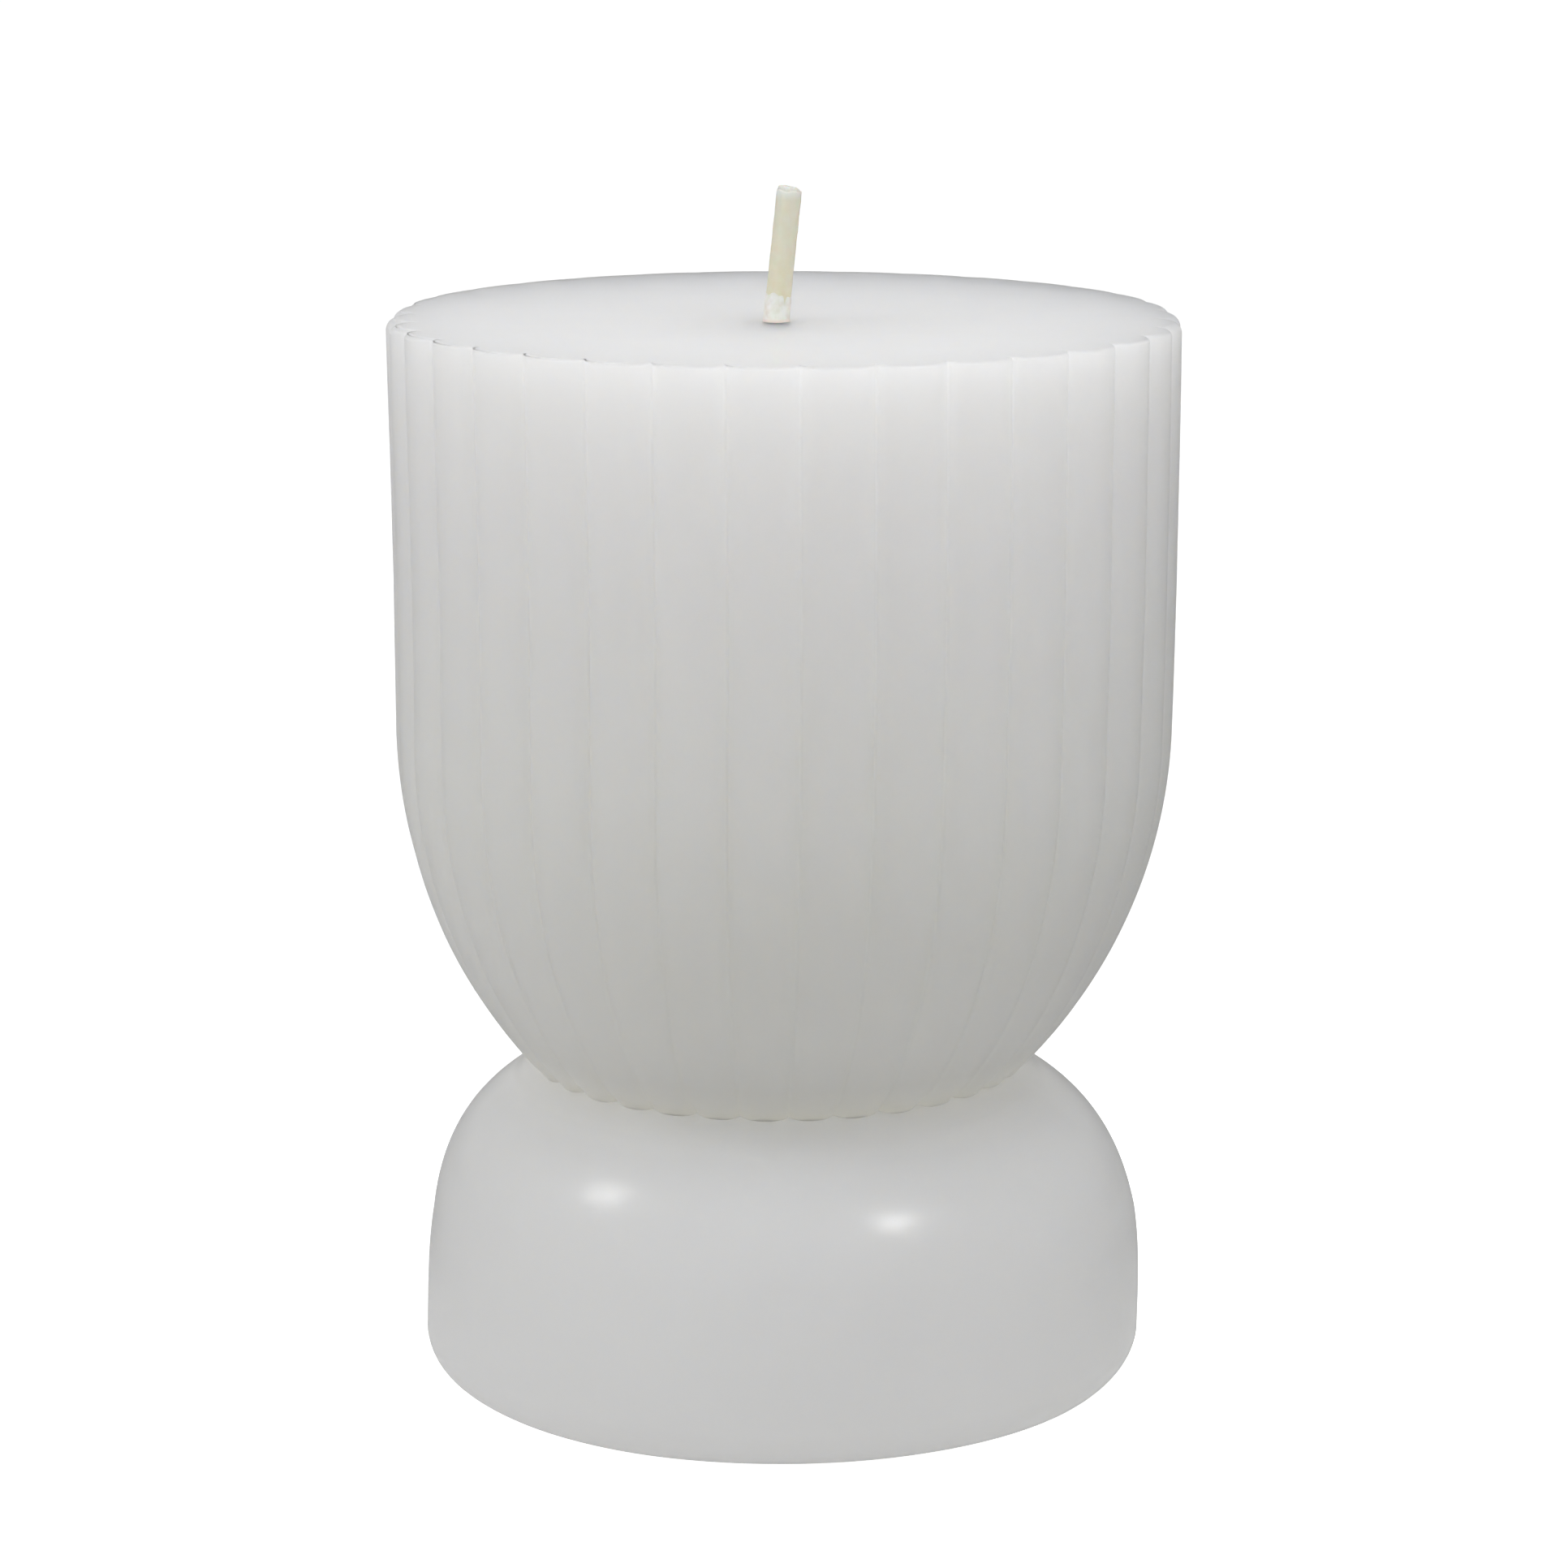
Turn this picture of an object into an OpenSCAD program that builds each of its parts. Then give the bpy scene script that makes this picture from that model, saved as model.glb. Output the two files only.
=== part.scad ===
// Fluted pillar candle: a straight-sided ribbed bowl of wax standing on a smooth domed foot.
// Origin: centre of the base, on the surface the candle stands on. +Z points up the wick.
// Front of the candle: -Y. All sizes in millimetres.

/* [Bowl] */
// Radius over the rib crests
rim_r = 36.8; // [36:0.1:38]
// Height of the wax, from the base to the flat top
wax_h = 100; // [94:1:110]
// Height at which the straight side starts to curve in
shoulder_z = 62.4; // [60:0.2:66]
// Radius of the curve from the shoulder to the neck, along a rib crest
crest_bend_r = 47.6; // [46:0.2:50]
// Rounding of the rim where the side meets the flat top
rim_round = 1.8; // [1.4:0.1:2.2]

/* [Ribs] */
// Number of ribs round the bowl
rib_count = 34; // [32:2:36]
// Radius of one rib's round face
rib_r = 4.4; // [4.2:0.1:4.8]
// Turn of the rib set about the axis
rib_turn = -2.9; // [-5:0.1:5]

/* [Foot] */
// Greatest radius of the dome
dome_r = 34; // [33:0.1:35]
// Height of the dome's widest ring
dome_low_z = 4; // [3.8:0.2:5]
// Height of the dome's crown, hidden inside the bowl
dome_top_z = 32.2; // [31.8:0.1:32.8]
// Squareness of the dome: 2 is an ellipse, higher is boxier
dome_power = 3.17; // [3:0.01:3.4]
// Rounding where the dome turns under to the base
base_round = 2.7; // [2:0.1:3.4]

/* [Wick] */
// Diameter of the wick over its wax coat
wick_d = 2.3; // [1.8:0.1:3]
// Thickness of the wick's wax coat
coat_t = 0.15; // [0.1:0.05:0.3]
// Length of wick that stands out of the wax
wick_out = 11.9; // [6:0.1:20]
// Lean of the wick to the right
wick_lean = 5.9; // [3:0.1:8]
// Sideways place of the wick from the axis
wick_x = -0.7; // [-1.5:0.1:0.5]

/* [Joint and base] */
// Radius of the spigot that joins the bowl to the foot
spigot_r = 9; // [7:0.5:11]
// Height of the spigot's lower end
spigot_z = 20; // [17:0.5:23]
// Thickness of the wax film that bonds the joint
bond_t = 0.4; // [0.3:0.1:0.8]
// Radius of the wick sustainer's disc
disc_r = 10; // [8:0.5:12]
// Height of the sustainer's crimped neck
neck_h = 6; // [4:0.5:8]

/* [Hidden] */
$fn = 96;

white_wax = "#ece9e4";
warm_wax = "#efe6cf";
cotton = "#f4efdf";
tinplate = "#b9bcbf";

overlap = 1;                                   // how far a cutter passes the face that it cuts
clear_r = rim_r + 8;                           // a radius outside every rib
rib_pitch = 360 / rib_count;                   // angle from rib to rib
bend_x = rim_r - crest_bend_r;                 // centre of the curve below the shoulder
bend_past = 4;                                 // degrees that a bent rib runs on past the shoulder
rib_step = 0.04;                               // how much smaller a rib is below the shoulder
valley_fill = 0.06;                            // flat left in a valley between two ribs
valley_inset = 1;                              // from the crest to where neighbouring ribs meet
slot_share = 0.97;                             // share of the pitch that one bent rib is cut to
root_r = 14;                                   // radius inside which the ribs aren't needed
ribs_low_z = dome_top_z - 6;                   // lower end of the bent ribs, inside the foot
bend_end = asin((shoulder_z - ribs_low_z) / crest_bend_r);
core_steps = 8;                                // cones in the solid body behind the ribs
rim_steps = 3;                                 // cones in the rounding of the rim
rim_blend_h = 0.3;                             // height below the rounding where the rim's trim starts
dome_steps = 20;                               // cones in the dome
wick_r = wick_d / 2;
braid_r = wick_r - coat_t;
elbow_r = 8;                                   // bend of the wick where it leaves the wax
elbow_lap = 0.1;                               // overlap of the elbow with the runs beside it
elbow_step = 0.01;                             // each run is this much thinner than the last
tip_bare = 0.4;                                // cotton showing past the coat at the cut end
disc_t = 0.4;
disc_z = 2.4;                                  // underside of the sustainer, where the wick ends
pocket_r = disc_r + 1;
pocket_z = disc_z + disc_t;
plug_low_z = 0.3;                              // the plug stays clear of the surface below
crimp_t = 0.5;
collar_h = 3;
collar_t = 0.15;
collar_foot_w = 1.3;                           // width of the wax that climbs the wick's foot
collar_foot_h = 1;
collar_knee_w = 0.45;                          // the climbing wax turns up this far from the wick
collar_knee_h = 0.3;
collar_trim_r = 9;                             // what the collar is trimmed with, under the wax top
collar_trim_h = 3;

// Height of a rib above the valley beside it, at crest radius r
function rib_rise(r) =
    let (half_w = (r - valley_inset) * sin(rib_pitch / 2))
    rib_r - sqrt(rib_r * rib_r - half_w * half_w);

// Point on the valley line, a degrees round the curve below the shoulder
function valley_point(a) =
    let (crest = bend_x + crest_bend_r * cos(a))
    let (reach = crest_bend_r - rib_rise(crest) + valley_fill)
    [bend_x + reach * cos(a), shoulder_z - reach * sin(a)];

// Radius of the dome at angle t of its curve, and height there
function dome_point(t) =
    [dome_r * pow(cos(t), 2 / dome_power),
     dome_low_z + (dome_top_z - dome_low_z) * pow(sin(t), 2 / dome_power)];

// --- fluted bowl ---

// Straight upper part of the bowl, with a round bar for each rib
module bowl_side() {
    translate([0, 0, shoulder_z])
        linear_extrude(wax_h - shoulder_z) {
            circle(rim_r - rib_rise(rim_r) + valley_fill);
            for (k = [0 : rib_count - 1])
                rotate(rib_turn - 90 + k * rib_pitch)
                    translate([rim_r - rib_r, 0])
                        circle(rib_r);
        }
}

// One rib below the shoulder: a round bar bent in towards the neck
module bent_rib() {
    translate([bend_x, 0, shoulder_z])
        rotate([90, 0, 0])
            rotate([0, 0, -bend_end])
                rotate_extrude(angle = bend_end + bend_past, $fn = 180)
                    translate([crest_bend_r - rib_r, 0])
                        circle(rib_r - rib_step);
}

// Wedge that one bent rib is kept inside, so that neighbours don't cut each other
module rib_slot() {
    half = rib_pitch / 2 * slot_share;
    translate([0, 0, ribs_low_z])
        linear_extrude(shoulder_z - ribs_low_z)
            polygon([
                root_r * [cos(half), -sin(half)],
                clear_r * [cos(half), -sin(half)],
                clear_r * [cos(half), sin(half)],
                root_r * [cos(half), sin(half)]
            ]);
}

// Solid body behind the bent ribs, out to the valleys
module bowl_core() {
    rotate_extrude()
        polygon(concat(
            [[0, valley_point(bend_end)[1]]],
            [for (i = [core_steps : -1 : 1]) valley_point(bend_end * i / core_steps)],
            [[valley_point(0)[0] - rib_step, shoulder_z], [0, shoulder_z]]
        ));
}

// Outline that rounds the rim off
module rim_outline() {
    edge_r = rim_r - rim_round;
    edge_z = wax_h - rim_round;
    rotate_extrude()
        polygon(concat(
            [[0, 0], [clear_r, 0], [clear_r, edge_z - rim_blend_h]],
            [for (i = [0 : rim_steps])
                let (a = 90 * i / rim_steps)
                [edge_r + (rim_round + valley_fill / 2) * cos(a), edge_z + rim_round * sin(a)]],
            [[0, wax_h]]
        ));
}

// Spigot under the bowl, which stands in the foot's socket
module spigot(grow = 0) {
    translate([0, 0, spigot_z - grow])
        cylinder(r = spigot_r + grow, h = dome_top_z - spigot_z + grow + overlap);
}

module fluted_bowl() {
    color(white_wax)
        difference() {
            union() {
                difference() {
                    intersection() {
                        union() {
                            bowl_side();
                            bowl_core();
                            for (k = [0 : rib_count - 1])
                                rotate(rib_turn - 90 + k * rib_pitch)
                                    intersection() {
                                        rib_slot();
                                        bent_rib();
                                    }
                        }
                        rim_outline();
                    }
                    dome();
                }
                spigot();
            }
            wick_bore();
        }
}

// --- domed foot ---

// Solid dome of the foot, with its crown whole
module dome() {
    under_r = dome_r - base_round;
    rotate_extrude()
        polygon(concat(
            [[0, 0], [under_r, 0]],
            [for (i = [1 : 4])
                let (a = 90 * (1 - i / 4))
                [under_r + base_round * cos(a), base_round * (1 - sin(a))]],
            [for (i = [0 : dome_steps]) dome_point(90 * i / dome_steps)]
        ));
}

module domed_foot() {
    color(white_wax)
        difference() {
            dome();
            spigot(grow = bond_t);
            wick_bore();
            translate([wick_x, 0, -overlap])
                cylinder(r = pocket_r, h = pocket_z + overlap);
            translate([wick_x, 0, 0])
                cylinder(r = wick_r + crimp_t, h = pocket_z + neck_h);
        }
}

// Film of wax between the spigot and its socket
module joint_wax() {
    color(warm_wax)
        difference() {
            intersection() {
                dome();
                spigot(grow = bond_t);
            }
            spigot();
            wick_bore();
        }
}

// --- wick ---

// Moves its children onto the line of the leaning end, with z = 0 at the top of the wax
module on_lean() {
    translate([wick_x, 0, wax_h])
        rotate([0, wick_lean, 0])
            children();
}

// The wick's whole run at radius r: upright in the wax, round an elbow, then leaning
module wick_run(r, low_z, out) {
    half_turn = elbow_r * tan(wick_lean / 2);
    elbow_z = wax_h - half_turn;
    translate([wick_x, 0, low_z])
        cylinder(r = r, h = elbow_z + elbow_lap - low_z);
    translate([wick_x + elbow_r, 0, elbow_z])
        rotate([90, 0, 0])
            rotate([0, 0, 180 - wick_lean])
                rotate_extrude(angle = wick_lean, $fn = 360)
                    translate([elbow_r, 0])
                        circle(r - elbow_step);
    on_lean()
        translate([0, 0, half_turn - elbow_lap])
            cylinder(r = r - 2 * elbow_step, h = out - half_turn + elbow_lap);
}

module wick_bore() {
    translate([wick_x, 0, -overlap])
        cylinder(r = wick_r, h = wax_h + 2 * overlap);
}

module wick_braid() {
    color(cotton)
        wick_run(braid_r, disc_z, wick_out);
}

module wick_coat() {
    color(warm_wax)
        difference() {
            wick_run(wick_r, disc_z, wick_out - tip_bare);
            wick_run(braid_r, disc_z - overlap, wick_out + overlap);
        }
}

// Wax that has climbed the lower part of the wick
module wick_collar() {
    color(white_wax)
        difference() {
            on_lean()
                rotate_extrude()
                    polygon([
                        [0, -overlap],
                        [wick_r + collar_foot_w, -overlap],
                        [wick_r + collar_foot_w, 0],
                        [wick_r + collar_knee_w, collar_knee_h],
                        [wick_r + collar_t, collar_foot_h],
                        [wick_r + collar_t, collar_h],
                        [0, collar_h]
                    ]);
            wick_run(wick_r, disc_z, wick_out);
            translate([wick_x, 0, wax_h - collar_trim_h])
                cylinder(r = collar_trim_r, h = collar_trim_h);
        }
}

// --- base ---

// Tinplate disc with a crimped neck that grips the lower end of the wick
module wick_sustainer() {
    color(tinplate)
        translate([wick_x, 0, disc_z])
            difference() {
                union() {
                    cylinder(r = disc_r, h = disc_t);
                    cylinder(r = wick_r + crimp_t, h = disc_t + neck_h);
                }
                translate([0, 0, -overlap])
                    cylinder(r = wick_r, h = disc_t + neck_h + 2 * overlap);
            }
}

// Wax poured into the pocket under the sustainer
module base_plug() {
    color(warm_wax)
        translate([wick_x, 0, 0])
            difference() {
                translate([0, 0, plug_low_z])
                    cylinder(r = pocket_r, h = pocket_z - plug_low_z);
                translate([0, 0, disc_z])
                    cylinder(r = disc_r, h = disc_t + overlap);
            }
}

fluted_bowl();
domed_foot();
joint_wax();
wick_braid();
wick_coat();
wick_collar();
wick_sustainer();
base_plug();
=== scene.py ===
"""Looks for a fluted pillar candle: ribbed wax bowl on a smooth domed wax foot, with a coated cotton wick.

Every length is in metres in the CAD frame: +Z up, -Y towards the front. Angles round the axis are
measured from the front, positive towards +X.
"""

import math

import bmesh
import bpy
import numpy as np
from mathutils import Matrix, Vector, noise


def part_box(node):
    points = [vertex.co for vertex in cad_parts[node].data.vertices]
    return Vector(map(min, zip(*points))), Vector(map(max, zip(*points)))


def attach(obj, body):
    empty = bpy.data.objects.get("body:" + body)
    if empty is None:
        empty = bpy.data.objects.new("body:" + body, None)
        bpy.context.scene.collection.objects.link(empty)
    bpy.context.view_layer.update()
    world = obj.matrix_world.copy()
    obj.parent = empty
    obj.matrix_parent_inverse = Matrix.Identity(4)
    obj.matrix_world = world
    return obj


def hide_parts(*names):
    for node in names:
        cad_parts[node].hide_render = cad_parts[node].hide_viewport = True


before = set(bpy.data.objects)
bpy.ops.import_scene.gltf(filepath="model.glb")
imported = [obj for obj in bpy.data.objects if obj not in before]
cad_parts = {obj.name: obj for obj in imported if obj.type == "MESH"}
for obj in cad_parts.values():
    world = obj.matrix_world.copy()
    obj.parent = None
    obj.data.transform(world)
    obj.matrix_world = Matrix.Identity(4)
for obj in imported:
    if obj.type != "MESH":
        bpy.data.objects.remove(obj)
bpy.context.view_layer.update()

MM = 0.001
BODY = "root"

# ---------------------------------------------------------------- sizes from the frame

bowl_low, bowl_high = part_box("fluted_bowl")
foot_low, foot_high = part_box("domed_foot")
disc_low, disc_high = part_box("wick_sustainer")
bond_low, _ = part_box("joint_wax")

WAX_H = bowl_high.z
RIM_R = (bowl_high.x - bowl_low.x) / 2
SPIGOT_Z = bowl_low.z
SOCKET_Z = bond_low.z
DOME_R = (foot_high.x - foot_low.x) / 2
DOME_TOP_Z = foot_high.z
WICK_X = (disc_low.x + disc_high.x) / 2
WICK_LOW_Z = disc_low.z

# ---------------------------------------------------------------- the candle's own shape

RIB_COUNT = 34
RIB_PITCH = 2 * math.pi / RIB_COUNT
RIB_TURN = math.radians(-2.9)          # turn of the rib set from the front
RIB_DEPTH_TOP = 1.7 * MM               # crest to valley on the straight side
RIB_DEPTH_NECK = 0.50 * MM             # crest to valley low on the curve
TOOTH_DEPTH = 0.45 * MM                # extra depth at the very end of a rib, where it meets the foot
TOOTH_LENGTH = 2.5 * MM
TOOTH_MEAN = 0.75                      # share of that extra depth on a middling rib
TOOTH_UNEVEN = 0.5                     # and how much it differs from rib to rib
RIB_UNEVEN = 0.06                      # share by which rib depths differ
NECK_FADE = 0.6                        # the ribs thin out over this share of the curve's radius
RIB_FLATNESS = 2.4                     # 2 is a round rib, higher is flatter with steeper flanks
RIB_SPAN = 0.96                        # share of the rounded outline that shows between valleys
VALLEY_ROUND = 0.22 * MM               # softness of the valley floor
RIM_ROUND_FRONT = 0.3 * MM             # the rim is crisp at the front and back
RIM_ROUND_SIDE = 1.1 * MM              # and worn round at the sides
RIM_FILL = 0.8                         # share of the rib depth filled at the rim, round the back
RIM_FILL_RUN = (0.5 * MM, 4 * MM)      # the filling fades out between these depths below the rim
RIM_FILL_BACK = (-0.1, 0.5)            # and starts and is full at these cosines from the back
RIM_SIDE_POWER = 20                    # how narrow the worn stretches at the sides are
DISH = 0.5 * MM                        # the top face sinks this much at the wick
SIDE_LEAN = 0.009                      # the side opens towards the rim by this much per length
SHOULDER_Z = 0.624 * WAX_H             # the straight side ends here
STRAIGHT_RUN = WAX_H - SHOULDER_Z
BEND_R = 1.294 * RIM_R                 # curve from the shoulder to the neck
BOWL_RUN = 0.74 * WAX_H                # length of a rib's crest, from the rim to the foot
TOP_WAVE = 0.07 * MM                   # slow waves in the top face
TOP_RIPPLE = 0.015 * MM                # and finer ones
RING_R = 2.5 * MM                      # a low ring of wax round the wick
RING_WAVER = 0.35 * MM
RING_RISE = 0.05 * MM
RING_WIDTH = 0.42 * MM
CHIP_DEPTH = 0.12 * MM
SIDE_WAVE = 0.05 * MM
SPIGOT_R = 9.0 * MM
BORE_R = 1.19 * MM
SOCKET_R = SPIGOT_R + 0.4 * MM

DOME_LOW_Z = 0.04 * WAX_H              # height of the dome's widest ring
DOME_POWER = 3.17                      # squareness of the dome's outline
BASE_ROUND = 2.8 * MM
DOME_SWELL = 0.09 * MM                 # slow waves in the dome
BASE_WOBBLE = 0.25 * MM                # waver of the base edge
CONTACT_GAP = 0.02 * MM
SEAM_R = 23.2 * MM                     # where the bowl's ribs meet the dome
SEAM_BEAD = 0.7 * MM                   # wax drawn up into the seam

WICK_R = 1.16 * MM
WICK_OUT = 11.9 * MM
WICK_LEAN = math.radians(5.9)
COAT_T = 0.06 * MM
BARE_TIP = 0.35 * MM                   # length of cotton past the coat
PALE_TIP = 0.95 * MM                   # the coat is white this far down from the cut
BRAID_LAY = 5.2 * MM                   # height in which a strand goes once round
BRAID_RELIEF = 0.07 * MM
COAT_RELIEF = 0.03 * MM                # what shows of the braid through the coat
COAT_LUMPS = 0.028 * MM
COLLAR_H = 2.55 * MM
COLLAR_T = 0.06 * MM
COLLAR_FLARE = 0.16 * MM               # how far the collar spreads out on the top face
PEAK_H = 0.35 * MM                     # highest point of the collar's top edge
PEAK_TURN = 0.45
PEAK_WIDTH = 0.35
SPLIT_DEPTH = 0.75 * MM                # split in the collar's top edge
SPLIT_TURN = 0.55
SPLIT_WIDTH = 0.12

PLUG_DISH = 0.9 * MM                   # the plug shrank this much in the middle
PLUG_WAVE = 0.08 * MM

# ---------------------------------------------------------------- colours and finishes

BOWL_TOP = (0.91, 0.9, 0.893)          # near the rim
BOWL_LOW = (0.908, 0.9, 0.846)         # near the neck
FOOT_TOP = (0.91, 0.905, 0.9)
FOOT_LOW = (0.92, 0.91, 0.882)
WAX_CLOUD = (0.87, 0.87, 0.86)         # the cloudier patches
POURED_DEEP = (0.74, 0.71, 0.65)
POURED_PALE = (0.78, 0.75, 0.70)
SMEAR_IVORY = (0.84, 0.79, 0.72)
SMEAR_WHITE = (0.93, 0.9, 0.86)
SMEAR_FOOT = (0.85, 0.74, 0.66)
COAT_LOW = (0.82, 0.73, 0.53)
COAT_HIGH = (0.86, 0.79, 0.66)
COAT_PALE = (0.88, 0.83, 0.73)
COAT_TIP = (0.92, 0.89, 0.83)
COTTON_SHADE = (0.72, 0.69, 0.6)
COTTON_WHITE = (0.86, 0.84, 0.78)
TIN_DULL = (0.55, 0.56, 0.57)
TIN_BRIGHT = (0.7, 0.71, 0.72)
PAPER_DARK = (0.49, 0.49, 0.49)
PAPER_PALE = (0.51, 0.51, 0.51)
BOWL_ROUGHNESS = (0.3, 0.42)
FOOT_ROUGHNESS = (0.25, 0.27)
BOWL_GRAIN = 0.05
FOOT_GRAIN = 0.03
SEAM_PAINTED_GLOW = 0.062                      # painted glow: emission that brightens the seam in place of light passing through the wax
BOWL_GLOW_REACH = 3.5 * MM             # upwards from the seam
FOOT_GLOW_REACH = -3 * MM              # and downwards
WAX_SPREAD = 0.055                     # how far light travels inside the wax
WAX_TINT = (1.0, 0.95, 0.85)           # red travels further than blue
WAX_IOR = 1.44
NOISE_LOW = 0.3                        # nearly all noise falls between these two
NOISE_HIGH = 0.7

# ---------------------------------------------------------------- the stage

PAPER_GLOW_NEAR = 0.27                 # the paper's light on the candle, close to its foot
PAPER_GLOW = 0.035                     # and further out
PAPER_NEAR_R = 42 * MM
PAPER_FAR_R = 70 * MM
PAPER_WHITE = 0.92                     # light that makes the paper itself look white
PAPER_RADII = (4.0, 1.2, 0.3, 0.05, 0.00001)
TENT_GREY = 0.04                       # the tent's light where no lobe reaches
TENT_LOBES = [((0, 1, 0.1), 0.56), ((-1, 0, 0.2), 0.25), ((1, 0, 0.2), 0.22)]
BACKDROP_WHITE = 1.0                   # the tent behind, as it shows itself
EYE_BACK = 4.595 * WAX_H
EYE_UP = 1.563 * WAX_H
EYE_DOWN_DEG = 12.32
LENS_MM = 115.1
SENSOR_MM = 36.0
CLIP_END = 20.0
DIFFUSE_BOUNCES = 12                   # light goes back and forth in the crevice at the seam
MAX_BOUNCES = 16


# ---------------------------------------------------------------- helpers

def smooth(edge0, edge1, x):
    """0 below edge0, 1 above edge1, and a smooth step between."""
    t = np.clip((np.asarray(x, float) - edge0) / (edge1 - edge0), 0.0, 1.0)
    return t * t * (3 - 2 * t)


def ripple(x, y, z, scale, seed):
    """Smooth noise from -1 to 1 at points in metres, with features about scale metres wide."""
    shape = np.broadcast(x, y, z).shape
    xs, ys, zs = (np.broadcast_to(v, shape).ravel() / scale for v in (x, y, z))
    values = [noise.noise(Vector((a + seed, b - seed, c + 2 * seed))) for a, b, c in zip(xs, ys, zs)]
    return np.array(values).reshape(shape)


def full_turn(columns):
    """Evenly spaced angles round the axis."""
    return np.arange(columns) * 2 * math.pi / columns


def legs(*stretches):
    """Values over stretches of (from, to, count); where two stretches meet the value comes once."""
    first = np.linspace(*stretches[0])
    return np.concatenate([first] + [np.linspace(*leg)[1:] for leg in stretches[1:]])


# ---------------------------------------------------------------- mesh building

def ring_mesh(name, rings, closed=True):
    """A mesh from rings of points, an array of rings x columns x 3.

    Each ring joins the next, and with closed the last ring joins the first, which makes a solid
    with a hole along its axis.
    """
    rings = np.asarray(rings, float)
    count, columns, _ = rings.shape
    ids = np.arange(count * columns).reshape(count, columns)
    here = ids if closed else ids[:-1]
    below = np.roll(ids, -1, axis=0) if closed else ids[1:]
    quads = np.stack([here, below, np.roll(below, -1, axis=1), np.roll(here, -1, axis=1)], axis=-1)
    mesh = bpy.data.meshes.new(name)
    mesh.from_pydata(rings.reshape(-1, 3).tolist(), [], quads.reshape(-1, 4).tolist())
    mesh.polygons.foreach_set("use_smooth", [True] * len(mesh.polygons))
    mesh.validate()
    mesh.update()
    piece = bpy.data.objects.new(name, mesh)
    bpy.context.scene.collection.objects.link(piece)
    return piece


def cap_mesh(name, rings):
    """A tube with closed ends: rings as in ring_mesh, with a fan over each end."""
    piece = ring_mesh(name, rings, closed=False)
    mesh = piece.data
    count, columns, _ = np.asarray(rings).shape
    points = [list(v.co) for v in mesh.vertices]
    faces = [list(p.vertices) for p in mesh.polygons]
    for first, flip in ((0, True), ((count - 1) * columns, False)):
        loop = list(range(first, first + columns))
        centre = np.mean([points[i] for i in loop], axis=0)
        points.append(list(centre))
        hub = len(points) - 1
        for a, b in zip(loop, loop[1:] + loop[:1]):
            faces.append([hub, b, a] if flip else [hub, a, b])
    closed = bpy.data.meshes.new(name)
    closed.from_pydata(points, [], faces)
    closed.polygons.foreach_set("use_smooth", [True] * len(closed.polygons))
    closed.validate()
    closed.update()
    piece.data = closed
    bpy.data.meshes.remove(mesh)
    return piece


def face_outwards(piece):
    """Turns every face of a closed mesh to point out of the solid."""
    work = bmesh.new()
    work.from_mesh(piece.data)
    bmesh.ops.recalc_face_normals(work, faces=work.faces)
    if work.calc_volume(signed=True) < 0:
        bmesh.ops.reverse_faces(work, faces=work.faces)
    work.to_mesh(piece.data)
    work.free()
    piece.data.update()


def lopsided(z, radius):
    """How far the hand-poured wax leans to the right at a height; nothing near the axis."""
    still_r, full_r = 11 * MM, 19 * MM
    heights = np.array([0.0, 8.0, 15.0, 24.0, 29.0, 36.0, 45.0, 60.0, 76.0, 100.0]) * MM
    shifts = np.array([-0.25, -0.1, 0.0, -0.4, -0.65, -0.35, -0.2, 0.0, 0.15, 0.0]) * MM
    return np.interp(z, heights, shifts) * smooth(still_r, full_r, radius)


def around(angle, radius, z, centre_x=0.0):
    """Points at angles from the front and a radius, as an array of columns x 3."""
    shape = np.broadcast(angle, radius, z).shape
    x = centre_x + radius * np.sin(angle) + lopsided(z, radius)
    y = -radius * np.cos(angle)
    return np.stack([np.broadcast_to(v, shape) for v in (x, y, z)], axis=-1)


# ---------------------------------------------------------------- the dome and the ribbed side

def dome_height(radius):
    """Height of the dome's outline over a radius, with the bead that fills the seam."""
    share = np.clip(1 - (np.asarray(radius) / DOME_R) ** DOME_POWER, 0.0, 1.0)
    bead = SEAM_BEAD * (1 - smooth(SEAM_R - 0.3 * MM, SEAM_R + 2.0 * MM, radius))
    bead = bead * smooth(SPIGOT_R + MM, SPIGOT_R + 4 * MM, radius)
    return DOME_LOW_Z + (DOME_TOP_Z - DOME_LOW_Z) * share ** (1 / DOME_POWER) + bead


def crest_line(s):
    """Radius, height and outward normal of a rib crest, s along it from the rim (0) down."""
    s = np.asarray(s, float)
    turn = np.clip((s - STRAIGHT_RUN) / BEND_R, 0.0, None)
    shoulder_r = RIM_R - STRAIGHT_RUN * SIDE_LEAN
    curve_r = shoulder_r - BEND_R * (1 - np.cos(turn))
    radius = np.where(s < STRAIGHT_RUN, RIM_R - s * SIDE_LEAN, curve_r)
    height = np.where(s < STRAIGHT_RUN, WAX_H - s, SHOULDER_Z - BEND_R * np.sin(turn))
    return radius, height, np.cos(turn), -np.sin(turn)


def rib_outline(share):
    """Drop of a rib's outline below its crest, 0 to 1, at a share of the way to the valley."""
    full = 1 - (1 - (RIB_SPAN * share) ** RIB_FLATNESS) ** (1 / RIB_FLATNESS)
    return full / (1 - (1 - RIB_SPAN ** RIB_FLATNESS) ** (1 / RIB_FLATNESS))


def rib_drop(angle, depth):
    """How far the ribbed surface lies under the crest line at an angle round the bowl."""
    across = (angle - RIB_TURN + RIB_PITCH / 2) % RIB_PITCH - RIB_PITCH / 2
    rise = depth * (1 - rib_outline(np.abs(across) / (RIB_PITCH / 2)))
    return depth - (np.sqrt(rise * rise + VALLEY_ROUND ** 2) - VALLEY_ROUND)


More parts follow.
